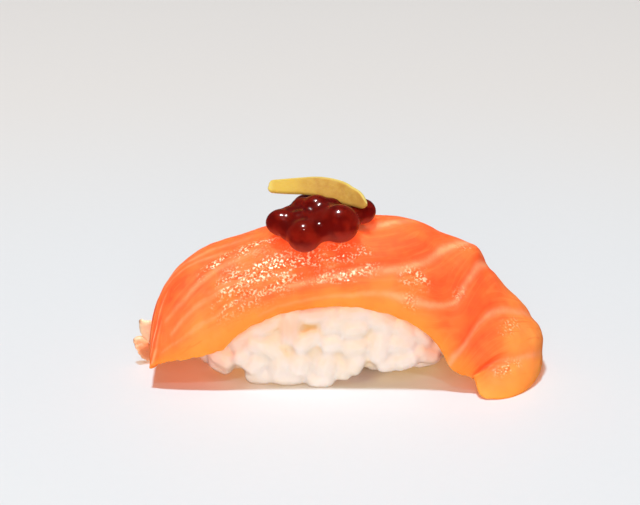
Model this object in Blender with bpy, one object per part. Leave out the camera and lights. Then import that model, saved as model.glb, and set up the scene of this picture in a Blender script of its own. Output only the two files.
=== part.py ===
import math

import bmesh
import bpy
import numpy as np
from mathutils import Vector, noise
from mathutils.bvhtree import BVHTree

for thing in list(bpy.data.objects):
    bpy.data.objects.remove(thing)

# Sizes are millimetres here and become metres when a mesh is made
mm = 0.001

# Crown line of the slice: a quarter ellipse to the pointed end, another to the end on the table
crownMiddle = 1.8
crownHeight = 28.7
tipReach = 35.9
tipLevel = 3.6
endReach = 35.6
tipFullness = 2.46
endFullness = 2.08
crownSide = (-3.6, 0.0, 1.4)

# Swellings and a hollow along the crown: place along the slice, half length, height
crownWaves = (
    (0.345, 0.080, -1.15),
    (0.590, 0.050, 0.6),
    (0.655, 0.020, -0.2),
    (0.712, 0.024, 0.9),
    (0.812, 0.062, -1.6),
    (0.935, 0.045, 0.6),
)

# Stations of the two long edges: place along the slice, then x, y, z
frontEdge = (
    (0.00, -34.2, -10.6, 3.8),
    (0.08, -31.0, -11.8, 5.2),
    (0.17, -26.2, -12.5, 6.2),
    (0.26, -20.7, -12.9, 7.9),
    (0.31, -17.3, -12.9, 11.0),
    (0.40, -9.2, -13.0, 14.9),
    (0.50, 1.0, -13.0, 16.1),
    (0.60, 11.5, -13.0, 13.6),
    (0.68, 17.6, -13.2, 8.9),
    (0.75, 20.2, -13.5, 4.3),
    (0.81, 22.0, -13.8, 3.6),
    (0.89, 23.9, -14.0, 3.2),
    (0.95, 24.9, -16.2, 1.2),
    (1.00, 28.4, -17.9, 0.0),
)
backEdge = (
    (0.00, -33.9, 5.2, 3.5),
    (0.05, -32.7, 6.2, 4.7),
    (0.11, -30.4, 8.0, 6.6),
    (0.22, -23.0, 11.2, 11.0),
    (0.35, -11.6, 13.0, 15.6),
    (0.50, 2.6, 13.4, 17.3),
    (0.65, 16.4, 13.6, 12.4),
    (0.80, 23.6, 14.2, 5.6),
    (1.00, 30.2, 15.8, 0.0),
)
edgeTurn = math.radians(80)

# Thickness of the slice: place along it, then thickness
sliceThickness = ((0.0, 2.2), (0.15, 3.4), (0.4, 4.5), (0.7, 4.6), (0.9, 4.0), (1.0, 3.4))
sideRounding = 9
endRounding = 40
endCornerCut = 0.028
sliceCells = (54, 20)

# Folds that cross the thick end: place on the crown, place on the long edges, bend, how far
# across they run, and depth
folds = (
    {"crown": 0.762, "edge": 0.690, "bend": 1.3, "across": 0.6, "depth": 0.7},
    {"crown": 0.880, "edge": 0.755, "bend": 1.3, "across": 1.2, "depth": 0.9},
    {"crown": 0.968, "edge": 0.905, "bend": 1.4, "across": 1.2, "depth": 0.8},
)
foldWidth = 2.0
sliceArc = 108

# Block of rice: centre, half sizes and the height of its widest part
riceMiddle = -2.3
riceHalfLength = 23.9
riceHalfWidth = 11.0
riceWaist = 6.5
riceRise = 19.2
riceDrop = 10.0
riceSquareness = 2.6
riceGrain = 3.6
riceUneven = 0.55
riceClearance = 0.35
riceCells = (48, 28)
# How far the front foot of the rice stands clear of the plate: x, height
riceFoot = (
    (-26.0, 0.0), (-20.0, 0.1), (-16.4, 0.3), (-13.7, 0.1), (-9.5, 0.0), (-3.2, 0.0), (-0.5, 1.0),
    (2.2, 1.6), (5.8, 1.4), (10.3, 1.5), (13.0, 2.0), (16.6, 2.8), (20.0, 2.8), (23.0, 2.0),
)

# Salmon eggs: centre and half sizes
eggs = {
    "roe_front": ((-6.0, -9.4, 28.15), (3.0, 2.8, 2.9)),
    "roe_right": ((0.2, -8.05, 29.95), (3.45, 3.1, 3.35)),
    "roe_left": ((-9.9, -5.5, 29.4), (2.9, 2.4, 2.35)),
    "roe_top": ((-3.85, -3.5, 31.05), (2.75, 2.5, 2.75)),
    "roe_back": ((-5.6, 1.9, 30.4), (2.5, 2.3, 1.95)),
    "roe_rear": ((4.3, -2.95, 30.75), (2.35, 2.2, 2.15)),
}
eggCells = (18, 10)

# Strip of citrus peel: place along it, then the lower edge x, y, z, width and lean
stripStations = (
    (0.00, -12.6, -0.6, 33.6, 2.1, 50),
    (0.20, -9.2, -1.0, 33.4, 3.3, 50),
    (0.45, -4.8, -1.45, 33.6, 3.8, 50),
    (0.65, -1.5, -2.5, 32.8, 4.4, 47),
    (0.85, 2.2, -4.8, 32.0, 4.3, 38),
    (0.93, 3.8, -5.4, 31.9, 3.2, 27),
    (1.00, 5.1, -5.9, 32.2, 1.0, 15),
)
stripEndSlant = 0.9
stripThickness = 1.0
stripCells = (26, 6)

# Ragged scrap behind the pointed end: its root, then the reach of its edge by direction in degrees
scrapRoot = (-34.6, 3.0, 3.9)
scrapReach = (
    (84, 4.4), (97, 4.6), (108, 4.8), (123, 3.4), (146, 1.7), (156, 2.3),
    (167, 2.9), (184, 2.7), (203, 2.4), (226, 2.7), (250, 3.5), (271, 3.8),
)
scrapThickness = 0.9
scrapCells = (26, 7)


def smoothTrack(places, values, at):
    """A smooth curve through the values that never swings past them."""
    places = np.asarray(places, float)
    values = np.asarray(values, float)
    gaps = np.diff(places)
    slopes = np.diff(values) / gaps
    ends = np.zeros(len(places))
    for i in range(1, len(places) - 1):
        if slopes[i - 1] * slopes[i] > 0:
            first = 2 * gaps[i] + gaps[i - 1]
            second = gaps[i] + 2 * gaps[i - 1]
            ends[i] = (first + second) / (first / slopes[i - 1] + second / slopes[i])
    ends[0] = slopes[0]
    ends[-1] = slopes[-1]
    cell = np.clip(np.searchsorted(places, at, side="right") - 1, 0, len(gaps) - 1)
    width = gaps[cell]
    t = (at - places[cell]) / width
    return (
        values[cell] * (1 + 2 * t) * (1 - t) ** 2
        + ends[cell] * width * t * (1 - t) ** 2
        + values[cell + 1] * t * t * (3 - 2 * t)
        + ends[cell + 1] * width * t * t * (t - 1)
    )


def edgeTrack(stations, at):
    columns = np.array(stations).T
    return np.stack([smoothTrack(columns[0], columns[k], at) for k in (1, 2, 3)], axis=-1)


def crownTrack(at):
    turn = math.pi * (1 - at)
    left = at < 0.5
    reach = np.where(left, tipReach, endReach)
    floor = np.where(left, tipLevel, 0.0)
    power = 2 / np.where(left, tipFullness, endFullness)
    x = crownMiddle + reach * np.sign(np.cos(turn)) * np.abs(np.cos(turn)) ** power
    z = floor + (crownHeight - floor) * np.abs(np.sin(turn)) ** power
    push = sum(high * np.exp(-(((at - place) / half) ** 2)) for place, half, high in crownWaves)
    y = smoothTrack((0, 0.5, 1), crownSide, at) * abs(2 * at - 1) ** 2
    return np.stack([x + push * np.cos(turn), y, np.maximum(z + push * np.sin(turn), 0)], axis=-1)


def outerSkin(along, across):
    """Point of the slice's upper face, from 0 to 1 along it and from -1 to 1 across it."""
    along = along - endCornerCut * along ** 12 * np.abs(across) ** 5
    crown = crownTrack(along)
    front = edgeTrack(frontEdge, along)
    back = edgeTrack(backEdge, along)
    edge = np.where((across > 0)[..., None], front, back)
    turn = np.abs(across) * edgeTurn
    sideways = (np.sin(turn) / math.sin(edgeTurn))[..., None]
    downward = ((1 - np.cos(turn)) / (1 - math.cos(edgeTurn)))[..., None]
    reach = edge - crown
    flat = reach * np.array([0, 1, 0])
    drop = reach * np.array([1, 0, 1])
    return crown + flat * sideways + drop * downward


def facing(points):
    """Outward directions of a grid of points."""
    alongStep = np.gradient(points, axis=0)
    acrossStep = np.gradient(points, axis=1)
    out = np.cross(alongStep, -acrossStep)
    size = np.linalg.norm(out, axis=-1, keepdims=True)
    return out / np.maximum(size, 1e-9)


def foldDepth(along, across):
    """How far the upper face is pressed in by the folds."""
    deepest = np.zeros_like(along)
    side = np.abs(across)
    for fold in folds:
        line = fold["crown"] + (fold["edge"] - fold["crown"]) * side ** fold["bend"]
        away = (along - line) * sliceArc
        fade = np.clip((fold["across"] - side) / 0.2, 0, 1)
        deepest = np.maximum(deepest, fold["depth"] * fade * np.exp(-((away / foldWidth) ** 2)))
    return deepest


def spread(count):
    """Steps from -1 to 1 that crowd toward both ends."""
    even = np.linspace(-1, 1, count + 1)
    return 0.45 * even + 0.55 * np.sin(even * math.pi / 2)


def addObject(name, mesh, colour, roughness):
    item = bpy.data.objects.new(name, mesh)
    bpy.context.scene.collection.objects.link(item)
    material = bpy.data.materials.new(name + "Surface")
    material.use_nodes = True
    surface = material.node_tree.nodes["Principled BSDF"]
    surface.inputs["Base Color"].default_value = (*colour, 1)
    surface.inputs["Roughness"].default_value = roughness
    surface.inputs["Metallic"].default_value = 0
    mesh.materials.append(material)
    return item


def meshOf(name, shape):
    bmesh.ops.recalc_face_normals(shape, faces=shape.faces)
    shape.normal_update()
    mesh = bpy.data.meshes.new(name)
    shape.to_mesh(mesh)
    shape.free()
    mesh.transform([[mm, 0, 0, 0], [0, mm, 0, 0], [0, 0, mm, 0], [0, 0, 0, 1]])
    return mesh


def pillow(top, bottom):
    """Two grids of points closed to one body along their shared rim."""
    shape = bmesh.new()
    rows, columns = top.shape[:2]
    upper = {}
    lower = {}
    for i in range(rows):
        for j in range(columns):
            upper[i, j] = shape.verts.new(top[i, j])
            onRim = i in (0, rows - 1) or j in (0, columns - 1)
            lower[i, j] = upper[i, j] if onRim else shape.verts.new(bottom[i, j])
    for i in range(rows - 1):
        for j in range(columns - 1):
            loop = ((i, j), (i + 1, j), (i + 1, j + 1), (i, j + 1))
            shape.faces.new([upper[k] for k in loop])
            shape.faces.new([lower[k] for k in reversed(loop)])
    return shape


def addSlice():
    along = (spread(sliceCells[0]) + 1) / 2
    across = spread(sliceCells[1])
    u, w = np.meshgrid(along, across, indexing="ij")
    skin = outerSkin(u, w)
    out = facing(skin)
    skin = skin - out * foldDepth(u, w)[..., None]
    columns = np.array(sliceThickness).T
    half = smoothTrack(columns[0], columns[1], u) / 2
    rim = np.sqrt(np.clip(1 - np.abs(w) ** sideRounding, 0, 1))
    rim = rim * np.sqrt(np.clip(1 - np.abs(2 * u - 1) ** endRounding, 0, 1))
    middle = skin - out * half[..., None]
    lift = out * (half * rim)[..., None]
    top = middle + lift
    bottom = middle - lift
    top[..., 2] = np.maximum(top[..., 2], 0)
    bottom[..., 2] = np.maximum(bottom[..., 2], 0)
    mesh = meshOf("salmon", pillow(top, bottom))
    return addObject("salmon", mesh, (0.86, 0.24, 0.07), 0.28)


def addRice(cover):
    """A block of rice that fills the hollow under the slice."""
    shape = bmesh.new()
    footTrack = np.array(riceFoot).T
    bmesh.ops.create_uvsphere(shape, u_segments=riceCells[0], v_segments=riceCells[1], radius=1)
    tree = BVHTree.FromPolygons(
        [v.co / mm for v in cover.data.vertices], [list(p.vertices) for p in cover.data.polygons]
    )
    for vert in shape.verts:
        spin = Vector((vert.co.z, vert.co.y, vert.co.x))
        rise = riceRise if spin.z > 0 else riceDrop
        size = (riceHalfLength, riceHalfWidth, rise)
        total = sum(abs(spin[k] / size[k]) ** riceSquareness for k in range(3))
        point = spin * total ** (-1 / riceSquareness)
        lump = noise.noise(point / riceGrain + Vector((7, 3, 1)))
        point *= 1 + riceUneven * lump / max(point.length, 1)
        core = Vector((point.x * 0.75, 0, 0))
        ray = point - core
        place = core + Vector((riceMiddle, 0, riceWaist))
        hit = tree.ray_cast(place, ray.normalized())[3]
        reach = ray.length if hit is None else min(ray.length, hit - riceClearance)
        point = place + ray.normalized() * reach
        point.z = max(point.z, 0)
        foot = float(smoothTrack(*footTrack, point.x))
        front = min(max((-1.5 - point.y) / 5, 0), 1)
        point.z += foot * front * front * (3 - 2 * front) * (1 - min(point.z / 7, 1)) ** 2
        vert.co = point
    return addObject("rice", meshOf("rice", shape), (0.93, 0.87, 0.8), 0.45)


def addEgg(name, centre, size):
    shape = bmesh.new()
    bmesh.ops.create_uvsphere(shape, u_segments=eggCells[0], v_segments=eggCells[1], radius=1)
    egg = addObject(name, meshOf(name, shape), (0.35, 0.02, 0.01), 0.12)
    egg.location = Vector(centre) * mm
    egg.scale = size


def addStrip():
    columns = np.array(stripStations).T
    along = (spread(stripCells[0]) + 1) / 2
    across = (spread(stripCells[1]) + 1) / 2
    t, s = np.meshgrid(along, across, indexing="ij")
    low = np.stack([smoothTrack(columns[0], columns[k], t) for k in (1, 2, 3)], axis=-1)
    width = smoothTrack(columns[0], columns[4], t)
    lean = np.radians(smoothTrack(columns[0], columns[5], t))
    side = np.stack([np.zeros_like(lean), np.sin(lean), np.cos(lean)], axis=-1)
    middle = low + side * (width * s)[..., None]
    middle[..., 0] += stripEndSlant * s * (1 - t) ** 6
    out = facing(middle)
    rim = (1 - np.abs(2 * s - 1) ** 6) * (1 - np.abs(2 * t - 1) ** 30)
    lift = out * (stripThickness / 2 * np.sqrt(np.clip(rim, 0, 1)))[..., None]
    mesh = meshOf("citrus_strip", pillow(middle + lift, middle - lift))
    addObject("citrus_strip", mesh, (0.84, 0.55, 0.1), 0.4)


def addScrap():
    """Two torn lobes that stand out behind the pointed end."""
    turn = np.radians(np.linspace(scrapReach[0][0], scrapReach[-1][0], scrapCells[0] + 1))
    reach = np.linspace(0, 1, scrapCells[1] + 1)
    a, r = np.meshgrid(turn, reach, indexing="ij")
    columns = np.array(scrapReach).T
    ragged = 1 + 0.02 * np.sin(a * 17)
    span = smoothTrack(columns[0], columns[1], np.degrees(a)) * ragged * (0.12 + 0.88 * r)
    root = np.array(scrapRoot)
    x = root[0] + span * np.cos(a)
    z = root[2] + span * np.sin(a)
    y = root[1] + 0.8 * np.sin(a * 3) * r
    middle = np.stack([x, y, z], axis=-1)
    rim = (1 - np.abs(2 * r - 1) ** 8) * (1 - np.abs(np.linspace(-1, 1, len(turn)))[:, None] ** 14)
    lift = np.zeros_like(middle)
    lift[..., 1] = -scrapThickness / 2 * np.sqrt(np.clip(rim, 0, 1))
    mesh = meshOf("ragged_scrap", pillow(middle + lift, middle - lift))
    addObject("ragged_scrap", mesh, (0.9, 0.6, 0.33), 0.5)


def settle():
    """Hangs everything on one empty, set so that the bottom centre of the whole is the origin."""
    bpy.context.view_layer.update()
    pieces = list(bpy.data.objects)
    points = np.array([item.matrix_world @ vert.co for item in pieces for vert in item.data.vertices])
    low, high = points.min(axis=0), points.max(axis=0)
    whole = bpy.data.objects.new("nigiri", None)
    bpy.context.scene.collection.objects.link(whole)
    whole.location = (-(low[0] + high[0]) / 2, -(low[1] + high[1]) / 2, -low[2])
    for item in pieces:
        item.parent = whole


salmon = addSlice()
addRice(salmon)
for name, (centre, size) in eggs.items():
    addEgg(name, centre, size)
addStrip()
addScrap()
settle()
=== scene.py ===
import math

import bmesh
import bpy
import numpy as np
from mathutils import Matrix, Vector, noise
from mathutils.bvhtree import BVHTree


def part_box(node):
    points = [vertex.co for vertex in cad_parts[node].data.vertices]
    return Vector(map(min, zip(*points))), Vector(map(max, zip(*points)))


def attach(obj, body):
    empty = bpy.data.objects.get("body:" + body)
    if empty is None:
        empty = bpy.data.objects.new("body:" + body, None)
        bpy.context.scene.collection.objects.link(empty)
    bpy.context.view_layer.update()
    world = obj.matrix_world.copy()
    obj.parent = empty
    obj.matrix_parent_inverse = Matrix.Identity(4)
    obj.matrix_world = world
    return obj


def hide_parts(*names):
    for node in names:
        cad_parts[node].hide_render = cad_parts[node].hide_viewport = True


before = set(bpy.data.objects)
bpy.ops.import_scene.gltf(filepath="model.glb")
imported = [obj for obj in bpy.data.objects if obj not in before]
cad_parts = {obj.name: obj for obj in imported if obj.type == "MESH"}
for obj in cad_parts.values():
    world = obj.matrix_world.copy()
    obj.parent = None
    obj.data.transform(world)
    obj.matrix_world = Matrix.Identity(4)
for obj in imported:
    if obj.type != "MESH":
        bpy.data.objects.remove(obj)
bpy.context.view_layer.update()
scene = bpy.context.scene
mm = 0.001

# The shape numbers below are millimetres about the middle of the rice; this egg says where that is
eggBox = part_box("roe_right")
shapeOrigin = np.array((eggBox[0] + eggBox[1]) / 2) / mm - np.array((0.2, -8.05, 29.95))


def smoothTrack(places, values, at):
    # a smooth curve through the values that never swings past them
    places = np.asarray(places, float)
    values = np.asarray(values, float)
    gaps = np.diff(places)
    slopes = np.diff(values) / gaps
    ends = np.zeros(len(places))
    for i in range(1, len(places) - 1):
        if slopes[i - 1] * slopes[i] > 0:
            first = 2 * gaps[i] + gaps[i - 1]
            second = gaps[i] + 2 * gaps[i - 1]
            ends[i] = (first + second) / (first / slopes[i - 1] + second / slopes[i])
    ends[0] = slopes[0]
    ends[-1] = slopes[-1]
    cell = np.clip(np.searchsorted(places, at, side="right") - 1, 0, len(gaps) - 1)
    width = gaps[cell]
    t = (at - places[cell]) / width
    return (
        values[cell] * (1 + 2 * t) * (1 - t) ** 2
        + ends[cell] * width * t * (1 - t) ** 2
        + values[cell + 1] * t * t * (3 - 2 * t)
        + ends[cell + 1] * width * t * t * (t - 1)
    )


def stationTrack(stations, at):
    # the numbers that follow each station's place, joined by smooth curves
    table = np.array(stations, float).T
    return np.stack([smoothTrack(table[0], row, at) for row in table[1:]], axis=-1)


def smoothStep(value, low, high):
    t = np.clip((value - low) / (high - low), 0, 1)
    return t * t * (3 - 2 * t)


def bell(value):
    return np.exp(-(value ** 2))


def fieldNoise(points, size, seed=0.0):
    # one soft noise value for each point, points in millimetres
    offset = Vector((seed, seed * 1.7, -seed))
    return np.array([noise.noise(Vector(p) / size + offset) for p in points])


def meshFrom(shape, name):
    mesh = bpy.data.meshes.new(name)
    shape.to_mesh(mesh)
    shape.free()
    return mesh


def coordinatesOf(mesh):
    found = np.empty(len(mesh.vertices) * 3)
    mesh.vertices.foreach_get("co", found)
    return found.reshape(-1, 3)


def placeVertices(mesh, points):
    # shape millimetres to the frame's metres
    mesh.vertices.foreach_set("co", ((points + shapeOrigin) * mm).astype(np.float32).ravel())
    mesh.update()


def shapePoints(mesh):
    return coordinatesOf(mesh) / mm - shapeOrigin


def setValue(mesh, name, values):
    layer = mesh.attributes.get(name) or mesh.attributes.new(name, "FLOAT", "POINT")
    layer.data.foreach_set("value", np.asarray(values, np.float32))


def newObject(name, data):
    item = bpy.data.objects.new(name, data)
    scene.collection.objects.link(item)
    return item


def addPiece(name, mesh, material, replaced=()):
    item = newObject(name, mesh)
    mesh.materials.clear()
    mesh.materials.append(material)
    mesh.shade_smooth()
    litPieces.objects.link(item)
    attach(item, "root")
    if replaced:
        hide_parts(*replaced)
    return item


def closedSheet(cells, skin):
    # two grids of faces, an upper and an under one, moved to skin(u, w, side) and welded at the rim
    shape = bmesh.new()
    bmesh.ops.create_grid(shape, x_segments=cells[0], y_segments=cells[1], size=1)
    bmesh.ops.create_grid(
        shape, x_segments=cells[0], y_segments=cells[1], size=1, matrix=Matrix.Translation((0, 0, -1))
    )
    mesh = meshFrom(shape, "sheet")
    grid = coordinatesOf(mesh)
    placeVertices(mesh, skin(mesh, grid[:, 0], grid[:, 1], grid[:, 2] > -0.5))
    shape = bmesh.new()
    shape.from_mesh(mesh)
    bmesh.ops.remove_doubles(shape, verts=shape.verts, dist=1e-6)
    bmesh.ops.recalc_face_normals(shape, faces=shape.faces)
    shape.to_mesh(mesh)
    shape.free()
    return mesh


def facingOf(surface, t, s, sideStep=0.004, lowest=0):
    # the outward direction of a surface given by a formula
    step = 0.004
    out = np.cross(
        surface(np.clip(t + step, 0, 1), s) - surface(np.clip(t - step, 0, 1), s),
        surface(t, np.clip(s - sideStep, lowest, 1)) - surface(t, np.clip(s + sideStep, lowest, 1)),
    )
    return out / np.maximum(np.linalg.norm(out, axis=-1, keepdims=True), 1e-9)


def crowded(even):
    # moves even steps from -1 to 1 toward both ends
    return 0.45 * even + 0.55 * np.sin(even * math.pi / 2)


def addNode(tree, kind, **settings):
    node = tree.nodes.new(kind)
    for key, value in settings.items():
        setattr(node, key, value)
    return node


def feed(tree, socket, value):
    if isinstance(value, bpy.types.NodeSocket):
        tree.links.new(value, socket)
    elif isinstance(value, tuple) and len(value) == 3 and socket.type == "RGBA":
        socket.default_value = (*value, 1)
    else:
        socket.default_value = value


def mixColour(tree, factor, first, second):
    node = addNode(tree, "ShaderNodeMix", data_type="RGBA")
    for index, value in ((0, factor), (6, first), (7, second)):
        feed(tree, node.inputs[index], value)
    return node.outputs[2]


def calculate(tree, operation, first, second, clamp=False):
    node = addNode(tree, "ShaderNodeMath", operation=operation, use_clamp=clamp)
    feed(tree, node.inputs[0], first)
    feed(tree, node.inputs[1], second)
    return node.outputs[0]


def times(tree, first, second):
    return calculate(tree, "MULTIPLY", first, second)


def combined(tree, *parts):
    node = addNode(tree, "ShaderNodeCombineXYZ")
    for socket, part in zip(node.inputs, parts):
        feed(tree, socket, part)
    return node.outputs[0]


def remap(tree, value, low, high, newLow=0.0, newHigh=1.0):
    node = addNode(tree, "ShaderNodeMapRange", interpolation_type="SMOOTHSTEP")
    for socket, number in zip(node.inputs, (value, low, high, newLow, newHigh)):
        feed(tree, socket, number)
    return node.outputs[0]


def valueOf(tree, name):
    return addNode(tree, "ShaderNodeAttribute", attribute_name=name).outputs["Fac"]


def tinted(tree, colour, name, share, second):
    # toward the second colour where the piece's named value is high
    return mixColour(tree, times(tree, valueOf(tree, name), share), colour, second)


def speckle(tree, vector, size, detail=2.0, roughness=0.5):
    # noise whose lumps are about size metres
    node = addNode(tree, "ShaderNodeTexNoise")
    feed(tree, node.inputs["Vector"], vector)
    feed(tree, node.inputs["Scale"], 1 / size)
    feed(tree, node.inputs["Detail"], detail)
    feed(tree, node.inputs["Roughness"], roughness)
    return node.outputs["Fac"]


def placeOf(tree):
    return addNode(tree, "ShaderNodeTexCoord").outputs["Object"]


def newMaterial(name, finish):
    material = bpy.data.materials.new(name)
    material.use_nodes = True
    surface = material.node_tree.nodes["Principled BSDF"]
    for label, value in finish.items():
        surface.inputs[label].default_value = value
    return material, material.node_tree, surface


def moistGrain():
    # wet unevenness of a cut or cooked surface in two sizes, all in millimetres
    group = bpy.data.node_groups.new("moistGrain", "ShaderNodeTree")
    defaults = {"lump": 1.0, "lumpDepth": 0.05, "bead": 0.3, "beadDepth": 0.05, "mask": 1.0}
    for label, value in defaults.items():
        socket = group.interface.new_socket(label, in_out="INPUT", socket_type="NodeSocketFloat")
        socket.default_value = value
    group.interface.new_socket("Height", in_out="OUTPUT", socket_type="NodeSocketFloat")
    inside = addNode(group, "NodeGroupInput")
    place = placeOf(group)
    heights = []
    for size in ("lump", "bead"):
        texture = addNode(group, "ShaderNodeTexNoise")
        group.links.new(place, texture.inputs["Vector"])
        metres = times(group, inside.outputs[size], mm)
        feed(group, texture.inputs["Scale"], calculate(group, "DIVIDE", 1.0, metres))
        texture.inputs["Detail"].default_value = 1.0
        heights.append(times(group, texture.outputs["Fac"], inside.outputs[size + "Depth"]))
    beads = times(group, heights[1], inside.outputs["mask"])
    total = calculate(group, "ADD", heights[0], beads)
    feed(group, addNode(group, "NodeGroupOutput").inputs["Height"], times(group, total, mm))
    return group


def reliefOn(tree, surface, height, socket="Normal"):
    bump = addNode(tree, "ShaderNodeBump")
    bump.inputs["Strength"].default_value = 1.0
    bump.inputs["Distance"].default_value = 1.0
    feed(tree, bump.inputs["Height"], height)
    feed(tree, surface.inputs[socket], bump.outputs["Normal"])


def moistRelief(tree, surface, grain, mask=1.0):
    # grain is the size and depth of the lumps, then of the beads
    node = addNode(tree, "ShaderNodeGroup", node_tree=moist)
    for socket, value in zip(node.inputs, (*grain, mask)):
        feed(tree, socket, value)
    reliefOn(tree, surface, node.outputs["Height"])


def letLampsThrough(tree, surface, tint):
    # lamps shine weakly through, so that the shadow takes the food's own colour
    shade = addNode(tree, "ShaderNodeBsdfTransparent")
    feed(tree, shade.inputs["Color"], tint)
    mix = addNode(tree, "ShaderNodeMixShader")
    feed(tree, mix.inputs[0], addNode(tree, "ShaderNodeLightPath").outputs["Is Shadow Ray"])
    tree.links.new(surface.outputs[0], mix.inputs[1])
    tree.links.new(shade.outputs[0], mix.inputs[2])
    tree.links.new(mix.outputs[0], tree.nodes["Material Output"].inputs["Surface"])


moist = moistGrain()

roeLook = {
    "colours": {
        # below: a painted glow colour for the undersides of the eggs
        "dark": (0.125, 0.0028, 0.0014), "bright": (0.245, 0.010, 0.0036), "below": (0.30, 0.040, 0.025),
        "passed": (0.82, 0.67, 0.55),
    },
    # the sheen is the skin seen edge on
    "finish": {
        "Roughness": 0.2, "Specular IOR Level": 0.04, "Coat Weight": 0.30, "Coat Roughness": 0.035,
        "Coat IOR": 1.30, "Subsurface Weight": 0.5, "Subsurface Radius": (1.0, 0.12, 0.05),
        "Subsurface Scale": 0.003, "Sheen Weight": 0.22, "Sheen Roughness": 0.25,
        "Sheen Tint": (0.80, 0.20, 0.14, 1),
    },
    "grain": (2.4, 0.06, 0.8, 0.01),
    "eggs": {
        "roe_front": ((-6, -9.4, 28.15), (3, 2.8, 2.9)),
        "roe_right": ((0.2, -8.05, 29.95), (3.45, 3.1, 3.35)),
        "roe_left": ((-9.9, -5.5, 29.4), (2.9, 2.4, 2.35)),
        "roe_top": ((-3.85, -3.5, 31.05), (2.75, 2.5, 2.75)),
        "roe_back": ((-5.6, 1.9, 30.4), (2.5, 2.3, 1.95)),
        "roe_rear": ((4.3, -2.95, 30.75), (2.35, 2.2, 2.15)),
    },
    # jelly between the eggs
    "fillers": (
        ((-7.6, -4.4, 29.9), (2.2, 2, 2)), ((-6.8, -6.6, 29.4), (2.6, 2.2, 2.4)),
        ((-1.8, -5.4, 30.6), (2.2, 2, 2.2)), ((-2.9, -8.3, 28.9), (2.2, 1.9, 2.1)),
        ((-8.2, -7.6, 28.4), (2.2, 1.8, 1.8)), ((-5.6, -0.9, 30.3), (2.2, 2, 1.9)),
        ((1.9, -5, 29.9), (2.2, 2, 1.6)), ((-3.4, -6, 28), (5.4, 3.4, 1.6)),
        ((-1.4, -3.4, 31.9), (2, 1.6, 1.3)), ((-8.2, -4.2, 30.6), (2.2, 1.8, 1.4)),
        ((-6.2, -2.2, 31.4), (2.2, 2, 1.5)), ((-2.2, -6.8, 30.6), (2.4, 1.8, 1.6)),
    ),
    "segments": (56, 36),
    "eggFullness": 0.95,
    "eggWaver": 0.02,
    "filmVoxel": 0.22,
    "filmClosing": 1.3,
    "filmDepth": 0.14,
}


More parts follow.
